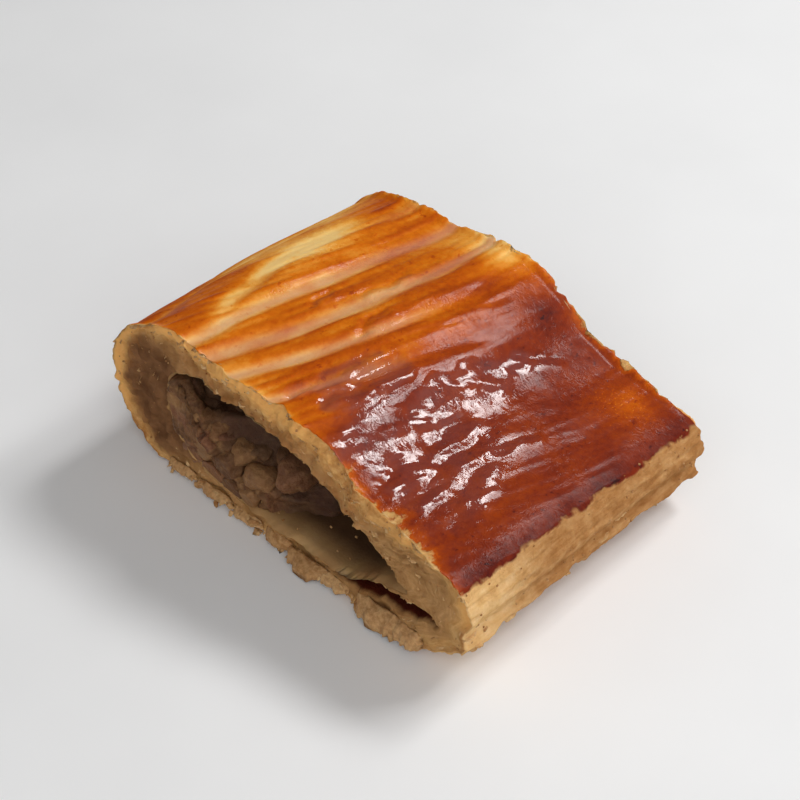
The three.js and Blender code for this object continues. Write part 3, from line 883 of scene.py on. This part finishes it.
def make_crumbs(skin, front_face, back_face):
    scraps, rng = Scraps(), np.random.default_rng(CRUMB_SEED)
    some = rng.uniform
    globe, globe_faces = ball(2)
    middles = []
    for face, side, many in ((front_face, -1, FRONT_CRUMBS), (back_face, 1, BACK_CRUMBS)):
        for _ in range(many):
            c = rng.integers(COLUMNS)
            r = rng.integers(len(face))
            middles.append((face[r, c] + (0, side * 0.02, 0), some(0.06, 0.15)))
    for _ in range(SIDE_CRUMBS):
        c = rng.choice(np.where((AROUND > LIP) & (AROUND < UNDER_SEAL + 0.3))[0])
        middles.append((skin[rng.integers(2, len(skin) - 2), c], some(0.07, 0.16)))
    for _ in range(POCKET_CRUMBS):
        x, y = some(-8, 16), -HALF_L + some(0.8, 7)
        floor = np.interp(x, (-15, 12.6, 17.5), np.array((0.145, 0.165, 0.27)) * HEIGHT)
        middle = place_hollow(np.array(x), np.array(floor + 0.1), np.array(y))
        middles.append((middle, some(0.08, 0.18)))
    for number, (middle, size) in enumerate(middles):
        q = globe * 1.7 + number * 3.7
        bulge = 1 + 0.45 * noise(q[:, 0], q[:, 1], q[:, 2], 811)
        grain = globe * bulge[:, None] * size * some(0.7, 1.5, 3) + middle
        scraps.add(grain, globe_faces, some(0, 0.4))
    return scraps.write("crumbs")


# ---- materials

class Nodes:
    """Short calls for building a node material."""

    def __init__(self, name):
        self.material = bpy.data.materials.new(name)
        self.material.use_nodes = True
        self.tree = self.material.node_tree
        self.inputs = self.tree.nodes["Principled BSDF"].inputs
        self.fields = {}

    def node(self, kind, **settings):
        made = self.tree.nodes.new(kind)
        for key, value in settings.items():
            setattr(made, key, value)
        return made

    def link(self, source, target):
        if isinstance(source, (int, float)):
            target.default_value = source
        elif isinstance(source, tuple):
            target.default_value = (*source, 1)
        else:
            self.tree.links.new(source, target)

    def set(self, name, source):
        self.link(source, self.inputs[name])

    def soften(self, weight, radius, scale):
        """Light that travels under the surface, by scale millimetres."""
        self.set("Subsurface Weight", weight)
        self.inputs["Subsurface Radius"].default_value = radius
        self.set("Subsurface Scale", scale * MM)

    def field(self, name):
        if name not in self.fields:
            self.fields[name] = self.node("ShaderNodeAttribute", attribute_name=name).outputs["Fac"]
        return self.fields[name]

    def math(self, operation, a, b=0):
        made = self.node("ShaderNodeMath", operation=operation)
        self.link(a, made.inputs[0])
        self.link(b, made.inputs[1])
        return made.outputs[0]

    def plus(self, a, b):
        return self.math("ADD", a, b)

    def times(self, a, b):
        return self.math("MULTIPLY", a, b)

    def vary(self, value, low, high, to_low=0, to_high=1):
        made = self.node("ShaderNodeMapRange", interpolation_type="SMOOTHSTEP")
        self.link(value, made.inputs["Value"])
        for key, number in zip(("From Min", "From Max", "To Min", "To Max"), (low, high, to_low, to_high)):
            made.inputs[key].default_value = number
        return made.outputs["Result"]

    def stretch(self, start, full, fade, end, top=1):
        """A stretch round the outline that rises from start to full and ends from fade to end."""
        around = self.field("around")
        return self.times(self.vary(around, start, full), self.vary(around, fade, end, top, 0))

    def mix(self, share, a, b, kind="RGBA"):
        made = self.node("ShaderNodeMix", data_type=kind)
        self.link(share, made.inputs["Factor"])
        self.link(a, made.inputs["A"])
        self.link(b, made.inputs["B"])
        return made.outputs["Result"]

    def ramp(self, value, stops):
        made = self.node("ShaderNodeValToRGB")
        self.link(value, made.inputs[0])
        points = made.color_ramp.elements
        while len(points) < len(stops):
            points.new(0.5)
        for point, (place, colour) in zip(points, stops):
            point.position = place
            point.color = (*colour, 1)
        return made.outputs["Color"]

    def noise(self, place, detail=3, rough=0.5, distortion=0):
        """Noise at a socket's coordinates, or in the object with waves of this size in millimetres."""
        if isinstance(place, (int, float)):
            place = (place, place, place)
        if isinstance(place, tuple):
            scaled = self.node("ShaderNodeMapping")
            scaled.inputs["Scale"].default_value = [1 / (MM * size) for size in place]
            self.link(self.node("ShaderNodeTexCoord").outputs["Object"], scaled.inputs["Vector"])
            place = scaled.outputs["Vector"]
        made = self.node("ShaderNodeTexNoise")
        settings = {"Scale": 1, "Detail": detail, "Roughness": rough, "Distortion": distortion}
        for key, number in settings.items():
            made.inputs[key].default_value = number
        self.link(place, made.inputs["Vector"])
        return made.outputs["Fac"]

    def layers(self, arc_scale, depth_scale):
        """Coordinates that follow the layers of a cut."""
        made = self.node("ShaderNodeCombineXYZ")
        self.link(self.times(self.field("arc"), arc_scale), made.inputs[0])
        self.link(self.times(self.field("depth"), depth_scale), made.inputs[1])
        return made.outputs[0]

    def bump(self, height, distance, strength=1):
        made = self.node("ShaderNodeBump")
        made.inputs["Distance"].default_value = distance * MM
        self.link(strength, made.inputs["Strength"])
        self.link(height, made.inputs["Height"])
        return made.outputs["Normal"]


def srgb(r, g, b):
    """Linear colour of an 8-bit screen colour."""
    return tuple(((v / 255 + 0.055) / 1.055) ** 2.4 if v > 10 else v / 255 / 12.92 for v in (r, g, b))


def stops(*rows):
    """Stops of a colour ramp, each written as its place and a screen colour."""
    return [(place, srgb(*colour)) for place, *colour in rows]


BAKED = stops(
    (0, 250, 206, 130), (0.12, 248, 190, 102), (0.25, 234, 154, 56), (0.4, 212, 112, 16), (0.52, 188, 84, 10),
    (0.64, 158, 62, 12), (0.78, 128, 44, 19), (0.9, 94, 29, 19), (1, 52, 20, 20),
)
CRUMB = stops((0.25, 150, 96, 46), (0.42, 196, 142, 82), (0.56, 218, 170, 108), (0.72, 236, 198, 142))
FOLD_DOUGH = stops((0.3, 128, 84, 48), (0.7, 166, 118, 74))
STAINED_DOUGH = stops((0.3, 100, 66, 42), (0.7, 144, 102, 68))
DOUGH = stops((0.3, 150, 106, 62), (0.7, 196, 148, 96))
LAYERS = stops((0.34, 132, 94, 58), (0.5, 170, 128, 82), (0.66, 214, 172, 118))
# The pressed side: its own tone near the front cut, and a painted shadow further back.
SIDE_NEAR = stops((0.3, 196, 146, 88), (0.48, 226, 180, 120), (0.68, 242, 206, 154))
SIDE_FAR_PAINTED_SHADOW = stops((0.3, 144, 94, 50), (0.48, 176, 124, 74), (0.68, 202, 156, 104))
TRAY = stops((0.3, 134, 70, 24), (0.5, 176, 106, 46), (0.72, 208, 148, 80))
# The pocket's dough is lighter by the cuts and goes over to a painted shade further in.
POCKET_FRONT = stops((0.3, 158, 118, 76), (0.7, 196, 156, 106))
POCKET_PAINTED_SHADE = stops((0.3, 62, 42, 28), (0.7, 86, 60, 40))
SCRAPS = stops((0, 150, 98, 52), (0.3, 172, 128, 82), (0.6, 200, 156, 106), (1, 228, 190, 138))
MINCE = stops((0.05, 96, 62, 38), (0.35, 134, 92, 58), (0.65, 128, 76, 58), (0.95, 154, 112, 72))
MINCE_FINE = stops((0.3, 88, 56, 34), (0.55, 132, 94, 60), (0.75, 172, 132, 86))
# Pale pinkish tan on the fork crests: partly the crest where the fork thinned the wash, partly a painted
# reflection of a broad light.
CREST_TAN_AND_REFLECTION = srgb(196, 130, 108)
PLUM_PAINTED_REFLECTION = srgb(124, 66, 62)  # purple tint painted where the glaze is glossiest: a painted reflection of the haze round the glints
STALE = srgb(156, 90, 42)
GOLDEN = srgb(244, 182, 106)
GAP_COLOUR = srgb(74, 26, 14)
# Painted shade for the meat far under the lid.
MEAT_PAINTED_SHADE = srgb(66, 44, 32)
# Painted shade in the creases between the lumps of the heap.
PAINTED_SHADE_BETWEEN_LUMPS = srgb(48, 32, 22)
FAT = srgb(160, 120, 78)

# Rims of a cut that baked golden: stretch of the outline, then the depth where it starts to fade, the depth
# where it ends, and how strong it is.
GOLDEN_RIMS = (
    ((CREST - 0.4, CREST, STEP - 2, STEP), (0.6, 3.2, 0.95)),
    ((STEP, PLATEAU, EDGE, CREASE), (0.6, 2.6, 0.7)),
    ((UNDER_FOLD, NOSE, SHOULDER, CREST), (0.5, 2, 0.85)),
)


def washed_mask(m, ragged):
    """Where the egg wash is, from 0 to 1."""
    around = m.field("around")
    wander = m.vary(m.noise(2.5), 0.3, 0.7, -0.1, 0.1)
    start = m.vary(m.plus(around, m.times(wander, 2.5)), UNDER_FOLD + 0.25, UNDER_FOLD + 0.8)
    stop = m.vary(m.plus(around, wander), LIP + 0.02, LIP + 0.14, 1, 0)
    inward = m.vary(m.plus(m.field("rim"), ragged), 0.75, 1.25)
    washed = m.times(m.times(start, stop), m.times(inward, m.field("skin")))
    return m.times(washed, m.math("SUBTRACT", 1, m.math("POWER", m.field("tray"), 8)))


def baked_colour(m, ragged):
    """Baked skin under the wash, paler and tan where the wash stops."""
    mottle = m.vary(m.noise((3.4, 5, 3.4), 4, 0.55), 0.3, 0.7, -0.04, 0.04)
    freckle = m.vary(m.noise((0.8, 0.9, 0.8), 3, 0.6), 0.35, 0.7, -0.03, 0.03)
    fade = m.vary(m.plus(m.field("rim"), ragged), 0.9, 2.6, -0.16, 0)
    level = m.plus(m.plus(m.field("brown"), mottle), m.plus(freckle, fade))
    blister = m.vary(m.noise((0.34, 0.4, 0.34), 2, 0.6), 0.6, 0.68)
    level = m.plus(level, m.times(m.times(blister, m.field("speck")), -0.22))
    level = m.plus(level, m.vary(m.noise((1.1, 1.5, 1.1), 3, 0.6), 0.62, 0.72, 0, 0.12))
    # The crests take a pale pinkish tan, partly their own colour and partly a painted reflection.
    on_crest = m.vary(m.field("around"), CREST + 0.1, CREST + 0.6, 0, 0.58)
    crest_tan_and_reflection = m.times(m.math("POWER", m.field("crest"), 3), on_crest)
    baked = m.mix(crest_tan_and_reflection, m.ramp(level, BAKED), CREST_TAN_AND_REFLECTION)
    # Painted reflection: a purple haze mixed in where the glaze is glossiest.
    reflection_haze = m.vary(m.noise((3, 4, 3), 3), 0.35, 0.6, 0.3, 1)
    return m.mix(m.times(m.vary(m.field("gloss"), 0.25, 0.9, 0, 0.42), reflection_haze), baked, PLUM_PAINTED_REFLECTION)


def cut_colour(m, crumb):
    """Layered crumb of the cuts, doughy inside, stained by the meat, golden at the rims."""
    depth = m.field("depth")
    tone = m.noise(3, 4)
    dough = m.mix(m.vary(m.math("DIVIDE", depth, 4.6), 0.35, 0.95), crumb, m.ramp(tone, DOUGH))
    at_fold = m.times(m.stretch(UNDER_FOLD - 1, UNDER_FOLD, SHOULDER, CREST + 0.2), m.vary(depth, 0.6, 2.6))
    by_meat = m.vary(m.plus(depth, m.vary(m.noise(2, 4, 0.6), 0.3, 0.7, -1.6, 1.6)), 2, 4)
    cut = m.mix(at_fold, dough, m.mix(by_meat, m.ramp(tone, FOLD_DOUGH), m.ramp(tone, STAINED_DOUGH)))
    patchy = m.vary(m.noise(1.3, 4, 0.6), 0.35, 0.62)
    over_pocket = m.stretch(CREST - 0.4, CREST + 0.2, STEP + 0.2, PLATEAU)
    stain = m.times(m.vary(depth, 0, 1.4, 0.85, 0), patchy)
    browned = m.times(m.times(over_pocket, patchy), m.vary(depth, 1, 3.6, 0.55, 0.25))
    cut = m.mix(m.math("MAXIMUM", stain, browned), cut, STALE)
    sheets = m.noise(m.layers(0.16, 0.85), 4, 0.6, 0.2)
    cut = m.mix(m.stretch(STEP, PLATEAU, UNDER_SEAL, UNDER_SEAL + 0.8, 0.4), cut, m.ramp(sheets, LAYERS))
    for stretch, (fade, end, strength) in GOLDEN_RIMS:
        cut = m.mix(m.times(m.stretch(*stretch), m.vary(depth, fade, end, strength, 0)), cut, GOLDEN)
    return cut


def bare_colour(m, crumb):
    """Skin without wash: the pressed side, the tray side, and the crumbled edge of the lid."""
    place = m.node("ShaderNodeSeparateXYZ")
    m.link(m.node("ShaderNodeTexCoord").outputs["Object"], place.inputs[0])
    y = m.math("DIVIDE", place.outputs["Y"], MM)
    leaf = m.noise((0.7, 7, 0.75), 4, 0.6, 0.3)
    tone = m.plus(m.times(leaf, 0.4), m.times(m.noise((1.6, 2.2, 1.6), 5, 0.6), 0.6))
    # Painted shadow: the pressed side darkens from near the front cut towards the back.
    side = m.mix(m.vary(y, -21, -6), m.ramp(tone, SIDE_NEAR), m.ramp(tone, SIDE_FAR_PAINTED_SHADOW))
    on_tray = m.field("tray")
    bare = m.mix(on_tray, side, m.ramp(m.noise(4, 5, 0.6), TRAY))
    on_lid = m.stretch(NOSE, SHOULDER, LIP - 0.1, LIP + 0.1)
    return m.mix(m.times(on_lid, m.math("SUBTRACT", 1, on_tray)), bare, crumb)


def pastry_colour(m, glaze, ragged, crumb):
    tone = m.noise((5, 8, 5), 3)
    # Painted shade: the pocket darkens with distance from the nearest cut.
    pocket = m.mix(m.vary(m.field("edge"), 1, 7), m.ramp(tone, POCKET_FRONT), m.ramp(tone, POCKET_PAINTED_SHADE))
    outside = m.mix(glaze, bare_colour(m, crumb), baked_colour(m, ragged))
    colour = m.mix(m.vary(m.field("skin"), 0.3, 0.8), cut_colour(m, crumb), outside)
    colour = m.mix(m.vary(m.field("inside"), 0.2, 0.9), colour, pocket)
    return m.mix(m.vary(m.field("slot"), 0.02, 0.22), colour, GAP_COLOUR)


def pastry_relief(m, glaze, leaf):
    """Fine relief of the crumb, and wrinkles in the glaze."""
    wrinkle = m.math("ABSOLUTE", m.math("SUBTRACT", m.noise((1.1, 0.9, 1.1), 3, 0.6, 0.8), 0.5))
    wrinkle = m.times(wrinkle, m.vary(m.noise(6, 2), 0.35, 0.65, 0.3, 1))
    crumb_height = m.plus(m.times(leaf, 0.35), m.noise(0.5, 5, 0.65))
    crumb_height = m.times(crumb_height, m.vary(m.field("inside"), 0.2, 0.9, 0.6, 0.18))
    m.set("Normal", m.bump(m.mix(glaze, crumb_height, m.times(wrinkle, -0.55), "FLOAT"), 0.5))
    m.set("Coat Normal", m.bump(wrinkle, -0.1))


def pastry_material():
    m = Nodes("glazed_pastry")
    around, gloss = m.field("around"), m.field("gloss")
    ragged = m.vary(m.noise((1.4, 1.8, 1.4), 4, 0.6), 0.3, 0.7, -0.45, 0.45)
    glaze = washed_mask(m, ragged)
    leaf = m.noise(m.layers(0.35, 1.7), 4, 0.65, 0.6)
    crumb = m.ramp(m.plus(m.times(leaf, 0.5), m.times(m.noise(1.1, 5, 0.65), 0.5)), CRUMB)
    m.set("Base Color", pastry_colour(m, glaze, ragged, crumb))
    m.set("Roughness", m.mix(m.times(glaze, m.vary(around, SHOULDER, CREST)), 0.9, 0.45, "FLOAT"))
    m.set("Specular IOR Level", 0.03)
    on_top = m.times(glaze, m.vary(around, SHOULDER, CREST + 0.7, 0.1, 1))
    on_top = m.times(on_top, m.vary(around, LIP - 0.45, LIP - 0.1, 1, 0.25))
    m.set("Coat Weight", m.times(on_top, m.vary(gloss, 0.15, 1, 0.2, 0.85)))
    m.set("Coat Roughness", m.vary(gloss, 0, 0.6, 0.2, 0.06))
    m.set("Coat IOR", 1.6)
    m.soften(0.12, (1, 0.45, 0.18), 1.2)
    pastry_relief(m, glaze, leaf)
    return m.material


def meat_material():
    m = Nodes("minced_meat")
    base = m.ramp(m.vary(m.field("tint"), -1, 1), MINCE)
    colour = m.mix(0.45, base, m.ramp(m.noise(0.9, 4, 0.6), MINCE_FINE))
    # Painted shade in the creases where the heap's lumps meet.
    colour = m.mix(m.vary(m.field("lump"), 0, 0.1, 0.4, 0), colour, PAINTED_SHADE_BETWEEN_LUMPS)
    colour = m.mix(m.vary(m.noise(2.2, 3), 0.58, 0.72, 0, 0.5), colour, FAT)
    # Painted shade: the meat far under the lid goes over to a dark colour.
    m.set("Base Color", m.mix(m.field("painted_shade"), colour, MEAT_PAINTED_SHADE))
    m.set("Roughness", m.vary(m.noise(1.5, 3), 0.3, 0.7, 0.42, 0.6))
    m.set("Specular IOR Level", 0.2)
    m.soften(0.1, (1, 0.4, 0.25), 1)
    m.set("Normal", m.bump(m.plus(m.noise(0.6, 5, 0.65), m.times(m.field("grain"), 0.4)), 0.35))
    return m.material


def scrap_material(name):
    m = Nodes(name)
    tone = m.plus(m.field("tone"), m.vary(m.noise(0.6, 4, 0.6), 0.3, 0.7, -0.2, 0.2))
    m.set("Base Color", m.ramp(tone, SCRAPS))
    m.set("Roughness", 0.7)
    m.set("Specular IOR Level", 0.2)
    m.soften(0.15, (1, 0.5, 0.2), 0.8)
    m.set("Normal", m.bump(m.noise(0.3, 4, 0.65), 0.15, 0.8))
    return m.material


# ---- the pieces

crust, skin_grid, front_grid, back_grid = make_pastry()
crust.data.materials.append(pastry_material())
meat = make_meat()
meat.data.materials.append(meat_material())
flakes = make_flakes(skin_grid, front_grid, back_grid)
flakes.data.materials.append(scrap_material("flake_crumb"))
crumbs = make_crumbs(skin_grid, front_grid, back_grid)
crumbs.data.materials.append(scrap_material("loose_crumb"))

for piece, node in ((crust, "pastry"), (meat, "meat_filling")):
    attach(piece, "root")
    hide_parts(node)
for piece in (flakes, crumbs):
    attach(piece, "root")


# ---- stage, lamps and camera

EYE = Vector((0.1338, -0.1215, 0.179))
AIM = Vector((0, 0, 0.013))
UPRIGHT = Vector((-0.4827, 0.5266, 0.6998))
LENS, NEAREST = 80, 0.01

# Lamps: name, direction from the roll, distance, side and power.
LAMPS = (
    ("key_plateau", (0.14, 0.58, 0.8), 0.6, 0.14, 1.15),
    ("key_step", (0.4, 0.58, 0.71), 0.6, 0.14, 1.1),
    ("side_fill", (0.75, -0.25, 0.65), 0.9, 0.8, 1.8),
    ("front_fill", (0.45, -0.62, 0.65), 0.9, 0.7, 1.1),
)
DIM_SIDE = Vector((-0.45, 0.5, 0.74))  # where the surroundings are the dimmest
SURROUNDINGS = {"From Min": 0.1, "From Max": 0.85, "To Min": 0.46, "To Max": 0.07}

FLOOR_REACH = 1.5  # metres from the middle to a side
FLOOR_TONES = ((0.3, (0.88, 0.88, 0.88)), (0.7, (0.92, 0.92, 0.92)))


def make_floor():
    mesh = bpy.data.meshes.new("floor")
    corners = [(x * FLOOR_REACH, y * FLOOR_REACH, 0) for x, y in ((-1, -1), (1, -1), (1, 1), (-1, 1))]
    mesh.from_pydata(corners, [], [(0, 1, 2, 3)])
    made = bpy.data.objects.new("floor", mesh)
    bpy.context.scene.collection.objects.link(made)
    m = Nodes("pale_floor")
    m.set("Base Color", m.ramp(m.noise(40), FLOOR_TONES))
    m.set("Roughness", 0.6)
    mesh.materials.append(m.material)


def add_light(name, towards, distance, size, power):
    """A square lamp in a direction from the roll, aimed at it."""
    data = bpy.data.lights.new(name, "AREA")
    data.shape = "RECTANGLE"
    data.size = data.size_y = size
    data.energy = power
    made = bpy.data.objects.new(name, data)
    way = Vector(towards).normalized()
    made.location = way * distance + AIM
    made.rotation_euler = way.to_track_quat("Z", "Y").to_euler()
    bpy.context.scene.collection.objects.link(made)


def make_lamps():
    for lamp in LAMPS:
        add_light(*lamp)


def make_world():
    """White surroundings that are dimmer behind the roll, where the glaze would mirror them."""
    world = bpy.data.worlds.new("studio")
    world.use_nodes = True
    tree = world.node_tree
    place = tree.nodes.new("ShaderNodeTexCoord")
    towards = tree.nodes.new("ShaderNodeVectorMath")
    towards.operation = "DOT_PRODUCT"
    towards.inputs[1].default_value = DIM_SIDE.normalized()
    strength = tree.nodes.new("ShaderNodeMapRange")
    for key, number in SURROUNDINGS.items():
        strength.inputs[key].default_value = number
    tree.links.new(place.outputs["Generated"], towards.inputs[0])
    tree.links.new(towards.outputs["Value"], strength.inputs["Value"])
    tree.links.new(strength.outputs["Result"], tree.nodes["Background"].inputs["Strength"])
    tree.nodes["Background"].inputs["Color"].default_value = (1, 1, 1, 1)
    bpy.context.scene.world = world


def make_camera():
    data = bpy.data.cameras.new("camera")
    data.lens = LENS
    data.clip_start = NEAREST
    made = bpy.data.objects.new("camera", data)
    back = (EYE - AIM).normalized()
    side = UPRIGHT.cross(back).normalized()
    turned = Matrix((side, back.cross(side), back)).transposed().to_4x4()
    made.matrix_world = Matrix.Translation(EYE) @ turned
    bpy.context.scene.collection.objects.link(made)
    bpy.context.scene.camera = made


make_floor()
make_lamps()
make_world()
make_camera()
bpy.context.scene.view_settings.view_transform = "Standard"
